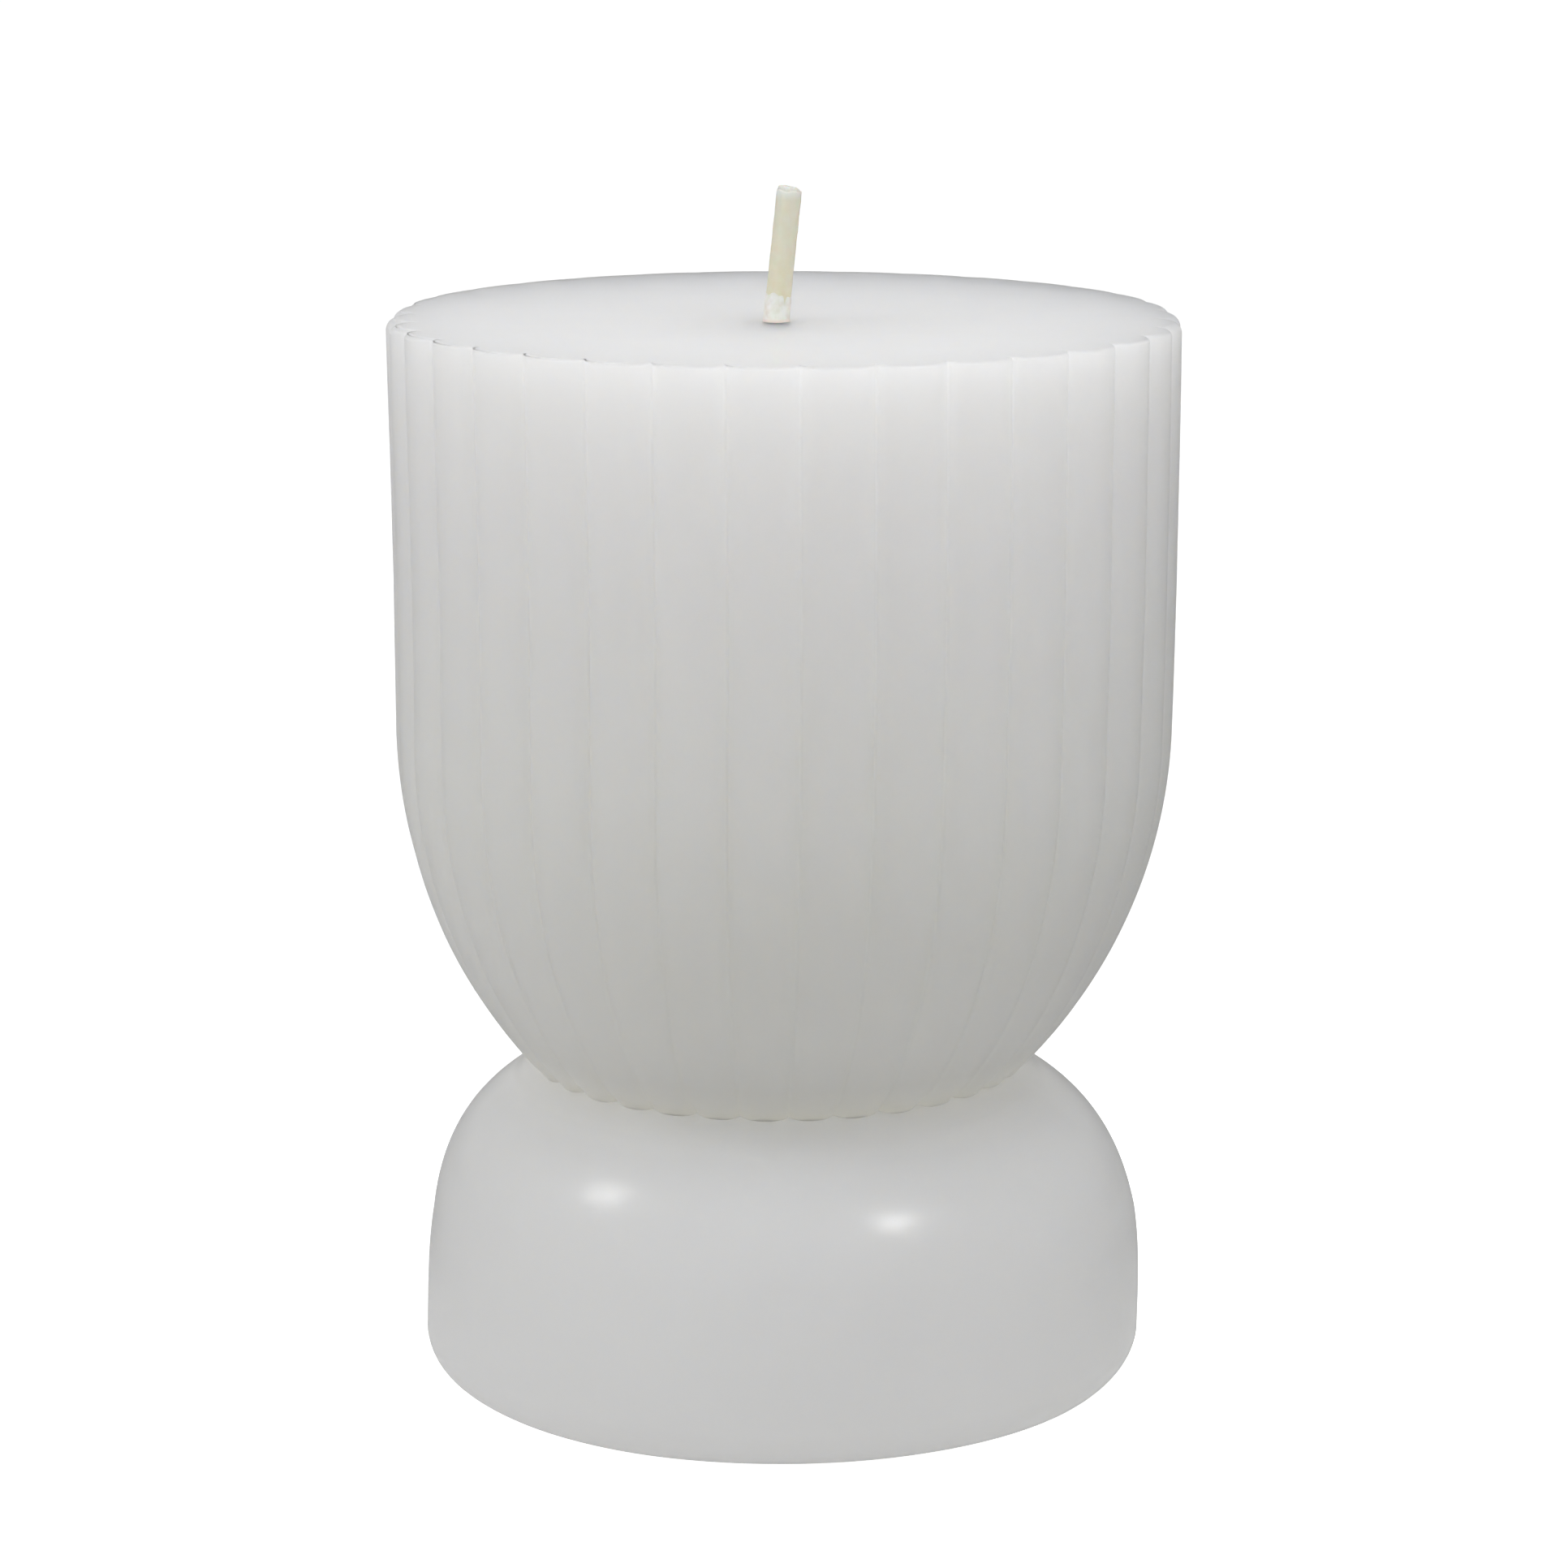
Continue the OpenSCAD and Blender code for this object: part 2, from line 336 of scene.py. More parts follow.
def rib_unevenness(angle, seed):
    """A number for each rib from -1 to 1, as in a hand-made mould."""
    index = np.floor((angle - RIB_TURN + RIB_PITCH / 2) / RIB_PITCH) % RIB_COUNT
    return np.sin(index * 2.4 + seed) * np.sin(index * 5.1 + 2 * seed)


def side_surface(angle, s, end=None):
    """Radius and height of the ribbed side at an angle, s down the crest line.

    end is the s where the side meets the foot; the ribs bite a little deeper just before it. Round
    the back the valleys are filled close to the rim.
    """
    crest_r, crest_z, out_r, out_z = crest_line(s)
    neck = smooth(STRAIGHT_RUN, STRAIGHT_RUN + NECK_FADE * BEND_R, s)
    depth = RIB_DEPTH_TOP + (RIB_DEPTH_NECK - RIB_DEPTH_TOP) * neck
    depth = depth * (1 + RIB_UNEVEN * rib_unevenness(angle, 1))
    last = BOWL_RUN if end is None else end
    tooth = smooth(last - TOOTH_LENGTH, last, s) * (TOOTH_MEAN + TOOTH_UNEVEN * rib_unevenness(angle, 4))
    back = smooth(*RIM_FILL_BACK, -np.cos(angle)) * (1 - smooth(*RIM_FILL_RUN, s))
    drop = rib_drop(angle, (depth + TOOTH_DEPTH * tooth) * (1 - RIM_FILL * back))
    return crest_r - drop * out_r, crest_z - drop * out_z


def side_end(angle):
    """Where each column of the side meets the dome, as s down the crest line."""
    halvings = 40
    low = np.full(angle.shape, STRAIGHT_RUN)
    high = low + BEND_R * 0.95
    for _ in range(halvings):
        middle = (low + high) / 2
        radius, height = side_surface(angle, middle, middle)
        inside = height < dome_height(radius) + CONTACT_GAP
        high = np.where(inside, middle, high)
        low = np.where(inside, low, middle)
    return low


def column_angles():
    """Angles of the mesh columns: closer together in the valleys, where the surface turns."""
    per_rib = 16
    packing = 0.16
    t = np.arange(per_rib) / per_rib * 2 - 1
    packed = (t + packing * np.sin(math.pi * t)) * RIB_PITCH / 2
    ribs = [RIB_TURN + k * RIB_PITCH + packed for k in range(RIB_COUNT)]
    return np.concatenate(ribs)


def top_height(x, y):
    """Height of the poured top face: a faint dish, slow waves and a low ring round the wick."""
    flat = 0 * x
    radius = np.hypot(x, y)
    from_wick = np.hypot(x - WICK_X, y)
    inner = 1 - smooth(0.82 * RIM_R, 0.95 * RIM_R, radius)
    waves = TOP_WAVE * ripple(x, y, flat, 16 * MM, seed=3.7)
    waves = waves + TOP_RIPPLE * ripple(x, y, flat, 5 * MM, seed=9.1)
    dish = -DISH * (1 - (radius / RIM_R) ** 2) ** 2
    ring_r = RING_R + RING_WAVER * ripple(x, y, flat, 3 * MM, seed=1.3)
    ring = RING_RISE * np.exp(-((from_wick - ring_r) / RING_WIDTH) ** 2)
    ring = ring * (0.65 + 0.5 * ripple(x, y, flat, 2.2 * MM, seed=5.5))
    return WAX_H + (waves + dish) * inner + ring


def make_bowl():
    """The ribbed casting: side, rim, top face, wick bore, spigot and hollowed underside."""
    angle = column_angles()
    flat = 0 * angle
    rings = []

    # Top face, from the bore out to where the rim starts to round off.
    rim_round = RIM_ROUND_FRONT + (RIM_ROUND_SIDE - RIM_ROUND_FRONT) * np.sin(angle) ** RIM_SIDE_POWER
    side_r, _ = side_surface(angle, rim_round)
    edge = side_r - rim_round
    for share in legs((0, 0.12, 20), (0.12, 1, 34)):
        centre_x = WICK_X * (1 - smooth(0.0, 0.35, share))
        points = around(angle, BORE_R + (edge - BORE_R) * share, flat, centre_x)
        points[:, 2] = top_height(points[:, 0], points[:, 1])
        rings.append(points)

    # Rounded rim, with a few chips.
    chips = smooth(0.35, 0.6, ripple(np.sin(angle), np.cos(angle), flat, 0.09, seed=4.0))
    rim_steps = 8
    for step in range(1, rim_steps + 1):
        turn = math.pi / 2 * (1 - step / rim_steps)
        radius = side_r - rim_round * (1 - math.cos(turn))
        height = WAX_H - rim_round * (1 - math.sin(turn))
        dent = CHIP_DEPTH * chips * math.sin(2 * turn)
        rings.append(around(angle, radius - dent, height - dent))

    # Straight side and curve down to the dome.
    end = side_end(angle)
    for share in legs((0, 0.45, 28), (0.45, 0.95, 36), (0.95, 1, 14))[1:]:
        radius, height = side_surface(angle, rim_round + (end - rim_round) * share, end)
        x, y = radius * np.sin(angle), -radius * np.cos(angle)
        fade = smooth(0, 0.06, share) * (1 - smooth(0.94, 1, share))
        radius = radius + SIDE_WAVE * fade * ripple(x, y, height, 14 * MM, seed=6.2)
        rings.append(around(angle, radius, height))

    # Underside, which follows the dome in to the spigot.
    low_r, _ = side_surface(angle, end, end)
    for share in np.linspace(0, 1, 14)[1:]:
        radius = low_r + (SPIGOT_R - low_r) * share
        rings.append(around(angle, radius, dome_height(radius) + CONTACT_GAP))
    for height in np.linspace(DOME_TOP_Z - MM, SPIGOT_Z + 0.6 * MM, 5):
        rings.append(around(angle, SPIGOT_R, height + flat))
    rings.append(around(angle, SPIGOT_R - 0.6 * MM, SPIGOT_Z + flat))
    rings.append(around(angle, BORE_R + 0.4 * MM, SPIGOT_Z + flat, WICK_X))
    for height in np.linspace(SPIGOT_Z + 0.4 * MM, WAX_H - MM, 8):
        rings.append(around(angle, BORE_R, height + flat, WICK_X))
    return ring_mesh("candle_bowl", rings)


def make_foot():
    """The domed casting: dome, rounded base, sustainer pocket, bore and socket."""
    angle = full_turn(288)
    flat = 0 * angle
    pocket_r = (disc_high.x - disc_low.x) / 2 + MM
    pocket_z = disc_low.z + 0.4 * MM
    crimp_r = WICK_R + 0.5 * MM
    rings = []

    # Dome, from the socket's mouth out and down to its widest ring.
    start = math.acos((SOCKET_R / DOME_R) ** (DOME_POWER / 2))
    for turn in np.linspace(start, 0, 120):
        radius = DOME_R * math.cos(turn) ** (2 / DOME_POWER)
        height = dome_height(radius) + flat
        points = around(angle, radius, height)
        bare = smooth(25 * MM, 28 * MM, radius)
        swell = DOME_SWELL * bare * ripple(*points.T, 17 * MM, seed=2.6)
        rings.append(around(angle, radius + swell, height))

    # Rounded base edge, then the flat the candle stands on.
    wobble = BASE_WOBBLE * ripple(np.sin(angle), np.cos(angle), flat, 0.5, seed=8.3)
    for turn in np.linspace(0, math.pi / 2, 14)[1:]:
        radius = DOME_R - BASE_ROUND * (1 - math.cos(turn)) + wobble * math.sin(turn)
        height = BASE_ROUND * (1 - math.sin(turn))
        height = height + (DOME_LOW_Z - BASE_ROUND) * (1 - turn / (math.pi / 2))
        rings.append(around(angle, radius, height + flat))
    for radius in np.linspace(DOME_R - BASE_ROUND - 1.5 * MM, pocket_r + 0.3 * MM, 8):
        shift = WICK_X * (1 - smooth(pocket_r, DOME_R - BASE_ROUND, radius))
        rings.append(around(angle, radius, flat, shift))

    # Pocket for the sustainer, its neck, the bore, and the socket for the spigot.
    inner = [
        (pocket_r, 0.3 * MM), (pocket_r, pocket_z - 0.05 * MM), (pocket_r - 0.05 * MM, pocket_z),
        (crimp_r, pocket_z), (crimp_r, disc_high.z), (BORE_R, disc_high.z + 0.2 * MM),
        (BORE_R, SOCKET_Z),
    ]
    rings += [around(angle, radius, height + flat, WICK_X) for radius, height in inner]
    rings.append(around(angle, SOCKET_R - 0.05 * MM, SOCKET_Z + flat))
    rings.append(around(angle, SOCKET_R, SOCKET_Z + 0.05 * MM + flat))
    rings.append(around(angle, SOCKET_R, DOME_TOP_Z - 0.6 * MM + flat))
    return ring_mesh("candle_foot", rings)


# ---------------------------------------------------------------- wick

def wick_centre(height):
    """X of the wick's centre at a height: upright in the wax, then leaning to the right."""
    above = np.asarray(height, float) - WAX_H
    bend = 1.6 * MM
    lean = math.tan(WICK_LEAN)
    bent = (above + bend / 2) ** 2 / (2 * bend)
    soft = np.where(above < -bend / 2, 0.0, np.where(above > bend / 2, above, bent))
    return WICK_X + lean * soft


def wick_tube(heights, angle, radius_at):
    """Rings of a tube round the wick's line. radius_at(height, angle) gives its radius."""
    rings = []
    for height in heights:
        centre = wick_centre(height)
        radius = radius_at(height, angle)
        points = around(angle, radius, height + 0 * angle, centre)
        if height > WAX_H:
            # Rings stand square to the leaning line.
            points[:, 2] -= (points[:, 0] - centre) * math.tan(WICK_LEAN)
        rings.append(points)
    return rings


def braid_relief(height, angle):
    """Raised strands of an eight-strand braid, 0 to 1: two sets of helices that cross."""
    climb = 2 * math.pi * height / BRAID_LAY
    one = np.abs(np.sin(2 * angle + climb))
    other = np.abs(np.sin(2 * angle - climb))
    return np.maximum(one, other)


def make_wick_braid():
    """The cotton braid, all of its length, cut a little aslant at the tip."""
    angle = full_turn(64)
    tip = WAX_H + WICK_OUT * math.cos(WICK_LEAN)
    thread_r = WICK_R - COAT_T

    def radius_at(height, angle):
        return thread_r - BRAID_RELIEF * (1 - braid_relief(height, angle))

    heights = legs((WICK_LOW_Z, WAX_H - 4 * MM, 24), (WAX_H - 4 * MM, tip - 0.5 * MM, 110))
    rings = wick_tube(heights, angle, radius_at)
    centre = wick_centre(tip)
    for share, rise in ((0.985, 0.24), (0.94, 0.4), (0.85, 0.5), (0.6, 0.54), (0.3, 0.52)):
        strands = 1 - 0.05 * np.abs(np.sin(4 * angle + 0.4))
        points = around(angle, thread_r * share * strands, 0 * angle, centre)
        tuft = 0.05 * MM * ripple(points[:, 0], points[:, 1], 0 * angle, 0.35 * MM, seed=7.0)
        slant = (points[:, 0] - centre) * (math.tan(WICK_LEAN) + 0.09)
        droop = 0.25 * MM * smooth(0.55, 1.0, (points[:, 0] - centre) / thread_r)
        points[:, 2] = tip - 0.5 * MM + rise * MM - slant - droop * share + tuft
        rings.append(points)
    return cap_mesh("wick_cotton", rings)


def make_wick_coat():
    """Thin cream wax over the braid, which shows through it as a soft relief."""
    angle = full_turn(96)
    top = WAX_H + WICK_OUT * math.cos(WICK_LEAN) - BARE_TIP
    ragged = 0.22 * MM * ripple(np.sin(angle), np.cos(angle), 0 * angle, 0.7, seed=2.2)

    def outer(height, angle):
        x, y = np.sin(angle), np.cos(angle)
        lumps = ripple(x * MM, y * MM, height + 0 * angle, 1.1 * MM, seed=5.0)
        return WICK_R - COAT_RELIEF * (1 - braid_relief(height, angle)) + COAT_LUMPS * lumps

    heights = legs((WICK_LOW_Z, WAX_H - MM, 20), (WAX_H - MM, top, 90))
    outside = wick_tube(heights, angle, outer)
    ragged_rings = 6
    for back, ring in enumerate(reversed(outside[-ragged_rings:])):
        ring[:, 2] += ragged * (1 - back / ragged_rings)
    lip = outside[-1].copy()
    inside = wick_tube(heights[::-1], angle, lambda height, angle: WICK_R - COAT_T + 0 * angle)
    lip[:, :2] += (inside[0][:, :2] - lip[:, :2]) * 0.5
    lip[:, 2] += 0.03 * MM
    inside[0][:, 2] = outside[-1][:, 2]
    return ring_mesh("wick_wax_coat", outside + [lip] + inside)


def make_wick_collar():
    """White wax that climbed the wick's foot, with a ragged top edge and a split."""
    angle = full_turn(120)
    x, y = np.sin(angle), np.cos(angle)
    crown = COLLAR_H + 0.3 * MM * ripple(x, y, 0 * angle, 0.9, seed=1.7)
    crown = crown + PEAK_H * np.exp(-((angle - 2 * math.pi + PEAK_TURN) / PEAK_WIDTH) ** 2)
    crown = crown - SPLIT_DEPTH * np.exp(-((angle - SPLIT_TURN) / SPLIT_WIDTH) ** 2)
    outer = []
    for share in legs((0, 0.25, 14), (0.25, 1, 34)):
        rise = share * crown
        flare = COLLAR_FLARE * np.exp(-rise / (0.14 * MM))
        lumps = ripple(x * MM, y * MM, rise, 0.8 * MM, seed=11.0)
        thick = COLLAR_T * (1 - smooth(0.8, 1.0, share) * 0.6)
        radius = WICK_R + thick + flare + 0.03 * MM * lumps * smooth(0.05, 0.3, share)
        height = WAX_H - DISH - 0.1 * MM + rise
        centre = wick_centre(height)
        points = around(angle, radius, height, centre)
        points[:, 2] -= (points[:, 0] - centre) * math.tan(WICK_LEAN) * smooth(0, 0.3, share)
        outer.append(points)
    inner = []
    for ring in reversed(outer):
        centre = wick_centre(ring[:, 2])
        inner.append(around(angle, WICK_R - 0.02 * MM, ring[:, 2], centre))
    return ring_mesh("wick_foot_wax", outer + inner)


# ---------------------------------------------------------------- base plug

def make_base_plug():
    """Poured wax under the sustainer, dished where it shrank, with a few ripples."""
    angle = full_turn(160)
    flat = 0 * angle
    low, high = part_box("base_plug")
    edge_r = (high.x - low.x) / 2 - 0.05 * MM
    disc_r = (disc_high.x - disc_low.x) / 2
    roof = [(0.2 * MM, disc_low.z), (disc_r, disc_low.z), (disc_r, high.z), (edge_r, high.z)]
    rings = [around(angle, radius, height + flat, WICK_X) for radius, height in roof]
    for share in np.linspace(1, 0.02, 26):
        points = around(angle, edge_r * share, flat, WICK_X)
        dish = PLUG_DISH * (1 - share ** 2) ** 2
        waves = PLUG_WAVE * ripple(points[:, 0], points[:, 1], flat, 4 * MM, seed=3.1) * (1 - share ** 4)
        points[:, 2] = low.z + dish + waves
        rings.append(points)
    return cap_mesh("base_pour", rings)


# ---------------------------------------------------------------- materials

class Nodes:
    """Short calls for building a material's node tree."""

    def __init__(self, name):
        self.material = bpy.data.materials.new(name)
        self.material.use_nodes = True
        self.tree = self.material.node_tree
        self.shader = self.tree.nodes["Principled BSDF"]
        self.place = self.tree.nodes.new("ShaderNodeTexCoord").outputs["Object"]

    def set(self, **values):
        for name, value in values.items():
            self.shader.inputs[name.replace("_", " ")].default_value = value

    def link(self, out, socket):
        self.tree.links.new(out, socket)

    def noise(self, size, detail=2.0, rough=0.5, stretch=(1, 1, 1)):
        """Noise with features about size metres wide, stretched along an axis where below 1."""
        mapping = self.tree.nodes.new("ShaderNodeMapping")
        mapping.inputs["Scale"].default_value = [v / size for v in stretch]
        self.link(self.place, mapping.inputs["Vector"])
        node = self.tree.nodes.new("ShaderNodeTexNoise")
        node.inputs["Scale"].default_value = 1.0
        node.inputs["Detail"].default_value = detail
        node.inputs["Roughness"].default_value = rough
        self.link(mapping.outputs["Vector"], node.inputs["Vector"])
        return node.outputs["Fac"]

    def height_z(self, low, high):
        """0 at height low and 1 at height high."""
        split = self.tree.nodes.new("ShaderNodeSeparateXYZ")
        self.link(self.place, split.inputs["Vector"])
        return self.spread(split.outputs["Z"], low, high, 0.0, 1.0)

    def spread(self, value, low, high, to_low, to_high):
        """A value mapped from low..high to to_low..to_high, and held at the ends."""
        node = self.tree.nodes.new("ShaderNodeMapRange")
        node.inputs["From Min"].default_value = low
        node.inputs["From Max"].default_value = high
        node.inputs["To Min"].default_value = to_low
        node.inputs["To Max"].default_value = to_high
        self.link(value, node.inputs["Value"])
        return node.outputs["Result"]

    def spread_noise(self, noise_value, to_low, to_high):
        """Noise stretched so that nearly all of it runs from to_low to to_high."""
        return self.spread(noise_value, NOISE_LOW, NOISE_HIGH, to_low, to_high)

    def blend(self, factor, first, second):
        """A colour from first to second; each is a colour or a socket."""
        node = self.tree.nodes.new("ShaderNodeMix")
        node.data_type = "RGBA"
        self.link(factor, node.inputs["Factor"])
        for key, value in (("A", first), ("B", second)):
            socket = [s for s in node.inputs if s.name == key and s.type == "RGBA"][0]
            if isinstance(value, bpy.types.NodeSocket):
                self.link(value, socket)
            else:
                socket.default_value = (*value, 1.0)
        return [s for s in node.outputs if s.type == "RGBA"][0]

    def bump(self, heights, distance):
        """Bumps from one or more height sockets, each with its own strength."""
        normal = None
        for height, strength in heights:
            node = self.tree.nodes.new("ShaderNodeBump")
            node.inputs["Strength"].default_value = strength
            node.inputs["Distance"].default_value = distance
            self.link(height, node.inputs["Height"])
            if normal is not None:
                self.link(normal, node.inputs["Normal"])
            normal = node.outputs["Normal"]
        self.link(normal, self.shader.inputs["Normal"])


def wax_material(name, top_colour, low_colour, roughness, grain, seam_reach):
    """Translucent candle wax: faintly cloudy, light that spreads inside, satin skin with fine grain.

    The two castings are one lump of wax to the light, but light does not pass from one mesh to the
    other, so a faint painted glow, emission that fades over seam_reach, brightens their seam in its place.
    """
    m = Nodes(name)
    tint = m.blend(m.height_z(0.55 * WAX_H, 0.85 * WAX_H), low_colour, top_colour)
    clouds = m.spread_noise(m.noise(22 * MM, detail=3.0, rough=0.55), 0.35, 0.0)
    m.link(m.blend(clouds, tint, WAX_CLOUD), m.shader.inputs["Base Color"])
    m.set(Subsurface_Weight=1.0, Subsurface_Scale=WAX_SPREAD, Subsurface_Radius=WAX_TINT, IOR=WAX_IOR)
    patches = m.noise(7 * MM, detail=4.0, rough=0.6)
    m.link(m.spread_noise(patches, *roughness), m.shader.inputs["Roughness"])
    fine = m.noise(0.45 * MM, detail=3.0, rough=0.6)
    streaks = m.noise(2.2 * MM, detail=2.0, rough=0.5, stretch=(1, 1, 0.25))
    m.bump([(fine, grain), (streaks, grain * 1.5)], 0.05 * MM)
    # Painted glow: emission near the seam that lightens the crevice between the two castings.
    seam_z = float(dome_height(SEAM_R))
    near = m.height_z(seam_z + seam_reach, seam_z)
    m.link(m.spread(near, 0.0, 1.0, 0.0, SEAM_PAINTED_GLOW), m.shader.inputs["Emission Strength"])
    m.set(Emission_Color=(1.0, 1.0, 0.98, 1.0))
    return m.material


def poured_wax_material():
    """Warmer wax with a matt, slightly pitted skin, as poured last."""
    m = Nodes("poured_wax")
    clouds = m.spread_noise(m.noise(9 * MM, detail=3.0), 0.0, 1.0)
    m.link(m.blend(clouds, POURED_DEEP, POURED_PALE), m.shader.inputs["Base Color"])
    m.set(Subsurface_Weight=1.0, Subsurface_Scale=0.005, IOR=WAX_IOR)
    m.link(m.spread_noise(m.noise(3 * MM, detail=3.0), 0.4, 0.55), m.shader.inputs["Roughness"])
    m.bump([(m.noise(0.6 * MM, detail=3.0), 0.2), (m.noise(4 * MM), 0.4)], 0.1 * MM)
    return m.material


def skin_wax_material():
    """Opaque white wax in a thin smear: ivory with a pink tinge at its foot."""
    m = Nodes("smeared_wax")
    mottle = m.spread(m.noise(0.7 * MM, detail=3.0), 0.35, 0.65, 0.0, 1.0)
    white = m.blend(mottle, SMEAR_IVORY, SMEAR_WHITE)
    foot = m.height_z(WAX_H - DISH + 0.35 * MM, WAX_H - DISH + 0.1 * MM)
    m.link(m.blend(foot, white, SMEAR_FOOT), m.shader.inputs["Base Color"])
    m.set(Subsurface_Weight=0.3, Subsurface_Scale=0.0002, Roughness=0.3, IOR=WAX_IOR)
    m.bump([(m.noise(0.35 * MM, detail=3.0), 0.35)], 0.06 * MM)
    return m.material


def wick_wax_material():
    """Cream wax over cotton: deeper low down, and white at the tip."""
    m = Nodes("wick_cream_wax")
    tip = WAX_H + WICK_OUT
    tone = m.blend(m.height_z(WAX_H, tip), COAT_LOW, COAT_HIGH)
    mottle = m.spread(m.noise(0.9 * MM, detail=3.0), 0.35, 0.7, 0.0, 0.45)
    cream = m.blend(mottle, tone, COAT_PALE)
    pale = m.height_z(tip - PALE_TIP - 0.3 * MM, tip - PALE_TIP + 0.4 * MM)
    colour = m.blend(pale, cream, COAT_TIP)
    m.link(colour, m.shader.inputs["Base Color"])
    m.set(Subsurface_Weight=0.3, Subsurface_Scale=0.0002, Roughness=0.5, IOR=WAX_IOR)
    m.bump([(m.noise(0.25 * MM, detail=3.0), 0.3)], 0.05 * MM)
    return m.material


def cotton_material():
    """White cotton strands with fine fibres along the wick."""
    m = Nodes("wick_cotton_fibre")
    fibre = m.noise(0.12 * MM, detail=4.0, rough=0.7, stretch=(1, 1, 0.2))
    shade = m.spread_noise(fibre, 0.0, 1.0)
    m.link(m.blend(shade, COTTON_SHADE, COTTON_WHITE), m.shader.inputs["Base Color"])
    m.set(Roughness=0.9, Subsurface_Weight=0.6, Subsurface_Scale=0.0006, Sheen_Weight=0.3)
    m.bump([(fibre, 0.6)], 0.04 * MM)
    return m.material


def tinplate_material():
    """Pressed tinplate, with rolling marks and dull patches."""
    m = Nodes("tinplate")
    roll = m.noise(0.3 * MM, detail=2.0, stretch=(0.05, 1, 1))
    m.link(m.spread_noise(roll, 0.28, 0.42), m.shader.inputs["Roughness"])
    dull = m.noise(4 * MM, detail=3.0)
    m.link(m.blend(dull, TIN_DULL, TIN_BRIGHT), m.shader.inputs["Base Color"])
    m.set(Metallic=1.0)
    m.bump([(roll, 0.15)], 0.02 * MM)
    return m.material


def floor_material():
    """Matt white paper lit from below: it glows a little on the candle and shows white itself."""
    m = Nodes("white_paper")
    tooth = m.noise(1.5 * MM, detail=2.0)
    m.link(m.blend(tooth, PAPER_DARK, PAPER_PALE), m.shader.inputs["Base Color"])
    m.set(Roughness=0.95, Specular_IOR_Level=0.1, Emission_Color=(1.0, 1.0, 1.0, 1.0))
    distance = m.tree.nodes.new("ShaderNodeVectorMath")
    distance.operation = "LENGTH"
    m.link(m.place, distance.inputs[0])
    glow = m.spread(distance.outputs["Value"], PAPER_NEAR_R, PAPER_FAR_R, PAPER_GLOW_NEAR, PAPER_GLOW)
    seen = m.tree.nodes.new("ShaderNodeLightPath").outputs["Is Camera Ray"]
    strength = m.tree.nodes.new("ShaderNodeMapRange")
    strength.inputs["To Max"].default_value = PAPER_WHITE
    m.link(seen, strength.inputs["Value"])
    m.link(glow, strength.inputs["To Min"])
    m.link(strength.outputs["Result"], m.shader.inputs["Emission Strength"])
    return m.material


# ---------------------------------------------------------------- pieces onto the frame

def dress(piece, material, slot, *nodes):
    """Gives a piece its material and its body, and hides the CAD nodes it stands for. slot is not used."""
    face_outwards(piece)
    piece.data.materials.clear()
    piece.data.materials.append(material)
    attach(piece, BODY)
    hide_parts(*nodes)


def repaint(node, material):
    """A better material on a CAD node that stays as it is."""
    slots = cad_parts[node].data.materials
    slots.clear()
    slots.append(material)


bowl_wax = wax_material("bowl_wax", BOWL_TOP, BOWL_LOW, BOWL_ROUGHNESS, BOWL_GRAIN, BOWL_GLOW_REACH)
foot_wax = wax_material("foot_wax", FOOT_TOP, FOOT_LOW, FOOT_ROUGHNESS, FOOT_GRAIN, FOOT_GLOW_REACH)
poured_wax = poured_wax_material()

dress(make_bowl(), bowl_wax, "bowl_wax", "fluted_bowl")
dress(make_foot(), foot_wax, "foot_wax", "domed_foot")
dress(make_wick_braid(), cotton_material(), "wick_cotton", "wick_braid")
dress(make_wick_coat(), wick_wax_material(), "wick_wax", "wick_coat")
dress(make_wick_collar(), skin_wax_material(), "bowl_wax", "wick_collar")
dress(make_base_plug(), poured_wax, "poured_wax", "base_plug")
repaint("wick_sustainer", tinplate_material())
repaint("joint_wax", poured_wax)


# ---------------------------------------------------------------- stage, light and camera

def make_floor():
    """A wide round sheet of white paper."""
    angle = full_turn(96)
    rings = [around(angle, radius, 0 * angle - CONTACT_GAP) for radius in PAPER_RADII]
    floor = ring_mesh("floor", rings, closed=False)
    floor.data.materials.append(floor_material())


def make_world(base, lobes):
    """A tent that lights with brightness base and a broad brighter patch towards each lobe's direction.

    The camera sees it plain white.
    """
    world = bpy.data.worlds.new("studio")
    world.use_nodes = True
    nodes, links = world.node_tree.nodes, world.node_tree.links
    ray = nodes.new("ShaderNodeTexCoord").outputs["Generated"]
    total = None
    for direction, strength in lobes:
        towards = nodes.new("ShaderNodeVectorMath")
        towards.operation = "DOT_PRODUCT"
        towards.inputs[1].default_value = Vector(direction).normalized()
        links.new(ray, towards.inputs[0])
        facing = math_node(nodes, links, "MAXIMUM", towards.outputs["Value"], 0.0)
        square = math_node(nodes, links, "MULTIPLY", facing, facing)
        glow = math_node(nodes, links, "MULTIPLY", square, strength)
        total = math_node(nodes, links, "ADD", glow, base if total is None else total)
    nodes["Background"].inputs["Color"].default_value = (1.0, 1.0, 1.0, 1.0)
    seen = nodes.new("ShaderNodeLightPath").outputs["Is Camera Ray"]
    shown = nodes.new("ShaderNodeMapRange")
    shown.inputs["To Max"].default_value = BACKDROP_WHITE
    links.new(seen, shown.inputs["Value"])
    links.new(total, shown.inputs["To Min"])
    links.new(shown.outputs["Result"], nodes["Background"].inputs["Strength"])
    bpy.context.scene.world = world


def math_node(nodes, links, operation, *values):
    """A Math node over sockets or numbers, and its output."""
    node = nodes.new("ShaderNodeMath")
    node.operation = operation
    for socket, value in zip(node.inputs, values):
        if isinstance(value, bpy.types.NodeSocket):
            links.new(value, socket)
        else:
            socket.default_value = value
    return node.outputs["Value"]


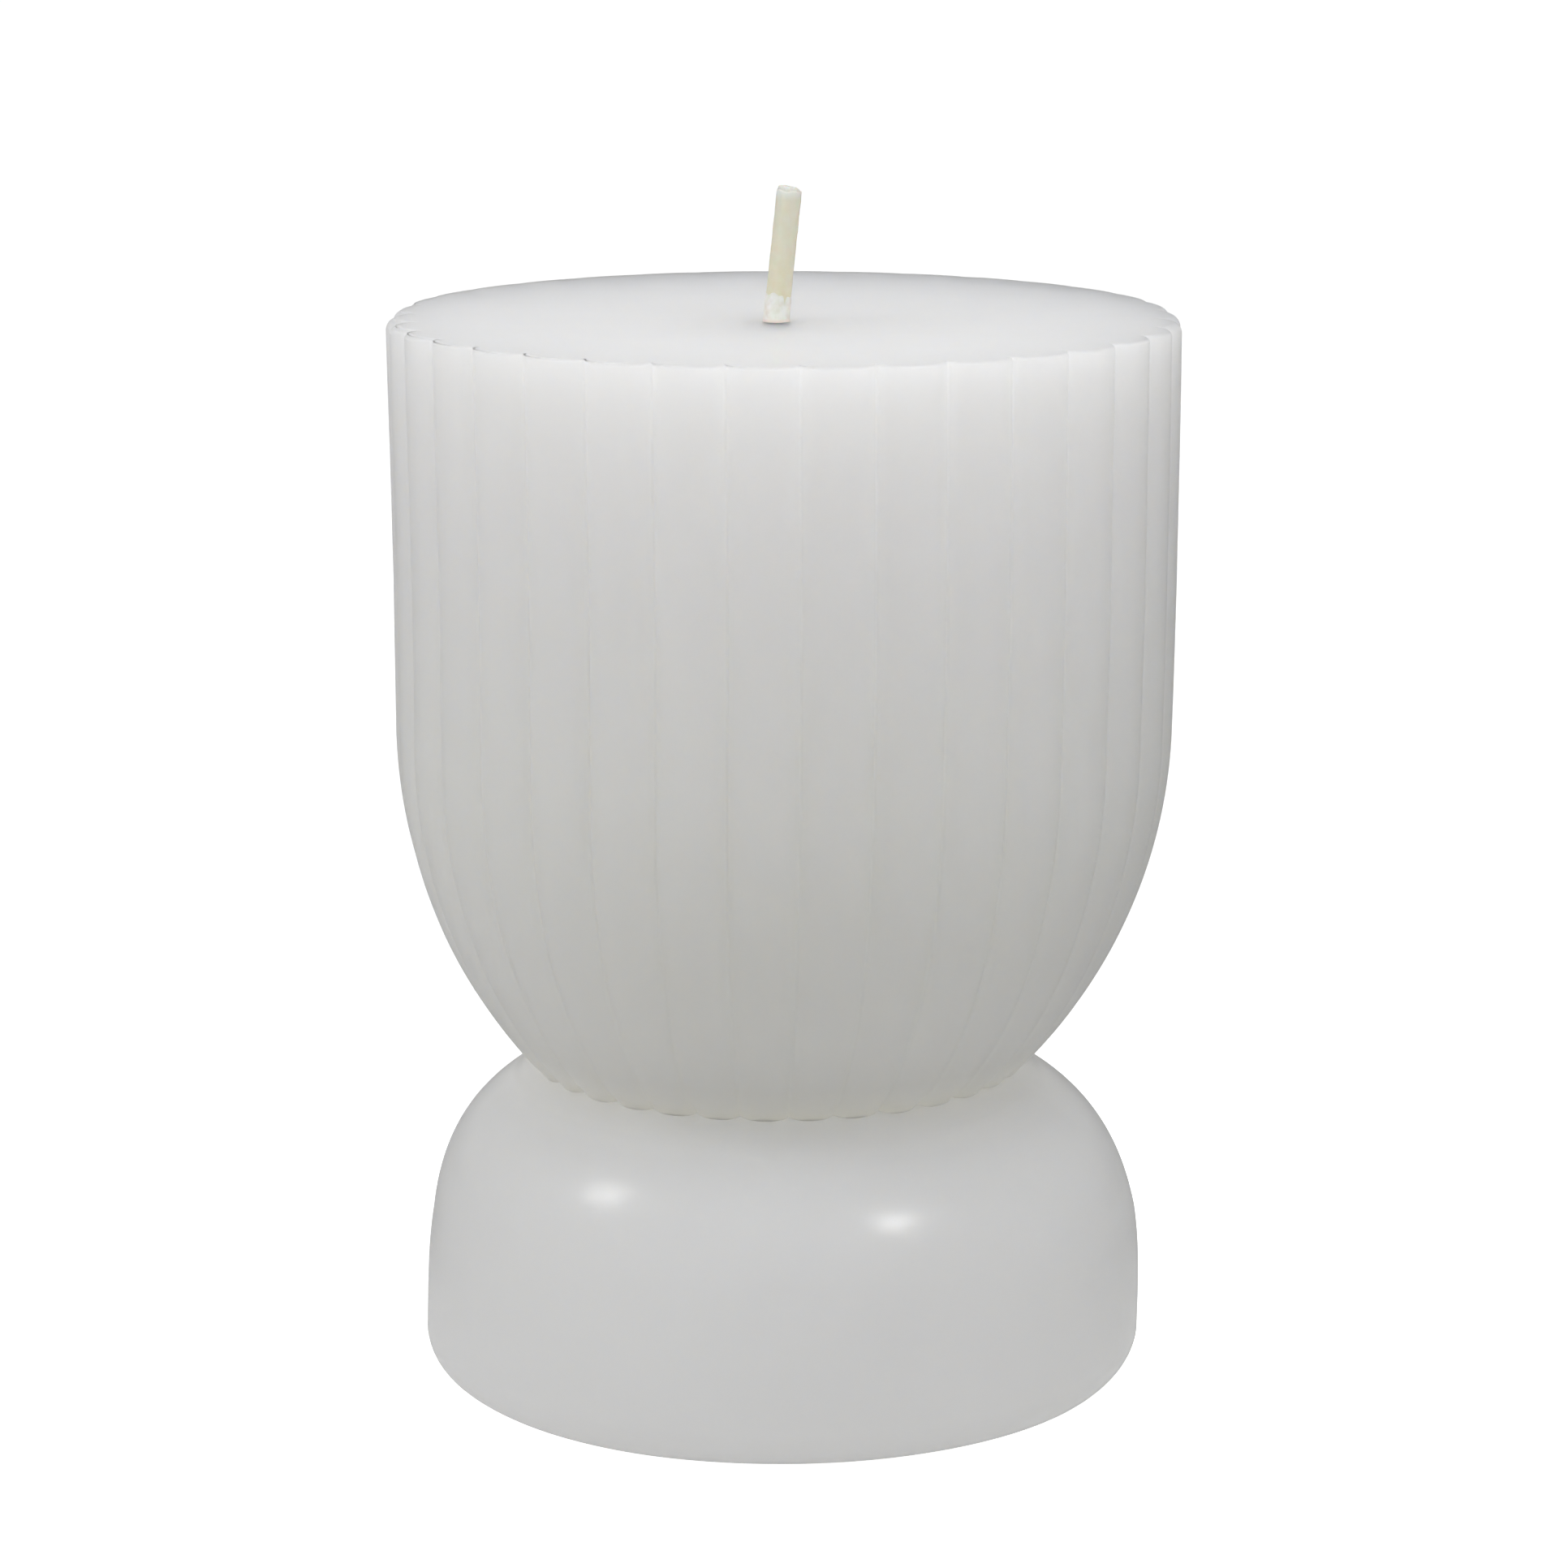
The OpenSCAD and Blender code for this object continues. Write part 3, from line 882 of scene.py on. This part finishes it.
def softbox(name, around_deg, up_deg, distance, width, height, watts, target_z, lights=True, glints=True):
    """An area light at an angle from the front and an angle up, aimed at a height on the axis.

    lights: it brightens surfaces. glints: it shows as a highlight.
    """
    turn, up = math.radians(around_deg), math.radians(up_deg)
    place = Vector((
        distance * math.cos(up) * math.sin(turn),
        -distance * math.cos(up) * math.cos(turn),
        target_z + distance * math.sin(up),
    ))
    light = bpy.data.lights.new(name, "AREA")
    light.shape = "RECTANGLE"
    light.size = width
    light.size_y = height
    light.energy = watts
    lamp = bpy.data.objects.new(name, light)
    lamp.location = place
    lamp.rotation_euler = (Vector((0, 0, target_z)) - place).to_track_quat("-Z", "Y").to_euler()
    lamp.visible_diffuse = lights
    lamp.visible_glossy = glints
    bpy.context.scene.collection.objects.link(lamp)


def make_camera():
    """The photograph's viewpoint: in front, above the rim and looking slightly down."""
    lens = bpy.data.cameras.new("camera")
    lens.sensor_width = SENSOR_MM
    lens.lens = LENS_MM
    lens.clip_end = CLIP_END
    camera = bpy.data.objects.new("camera", lens)
    camera.location = (0.0, -EYE_BACK, EYE_UP)
    camera.rotation_euler = (math.radians(90 - EYE_DOWN_DEG), 0.0, 0.0)
    bpy.context.scene.collection.objects.link(camera)
    bpy.context.scene.camera = camera


make_floor()
make_world(TENT_GREY, TENT_LOBES)
softbox("front_box", around_deg=0, up_deg=50, distance=0.45, width=0.3, height=0.3,
        watts=0.6, target_z=0.09, glints=False)
softbox("left_box", around_deg=-75, up_deg=40, distance=0.6, width=0.12, height=0.26,
        watts=1.05, target_z=0.03, glints=False)
softbox("right_box", around_deg=41, up_deg=42, distance=0.6, width=0.07, height=0.09,
        watts=0.22, target_z=0.03, glints=False)
softbox("right_high_box", around_deg=50, up_deg=60, distance=0.35, width=0.2, height=0.2,
        watts=0.53, target_z=0.1, glints=False)
softbox("left_glint", around_deg=-73, up_deg=39, distance=0.6, width=0.06, height=0.12,
        watts=0.46, target_z=0.03, lights=False)
softbox("right_glint", around_deg=43.5, up_deg=37.5, distance=0.6, width=0.06, height=0.05,
        watts=0.5, target_z=0.03, lights=False)
make_camera()
bpy.context.scene.view_settings.view_transform = "Standard"
bpy.context.scene.cycles.diffuse_bounces = DIFFUSE_BOUNCES
bpy.context.scene.cycles.max_bounces = MAX_BOUNCES
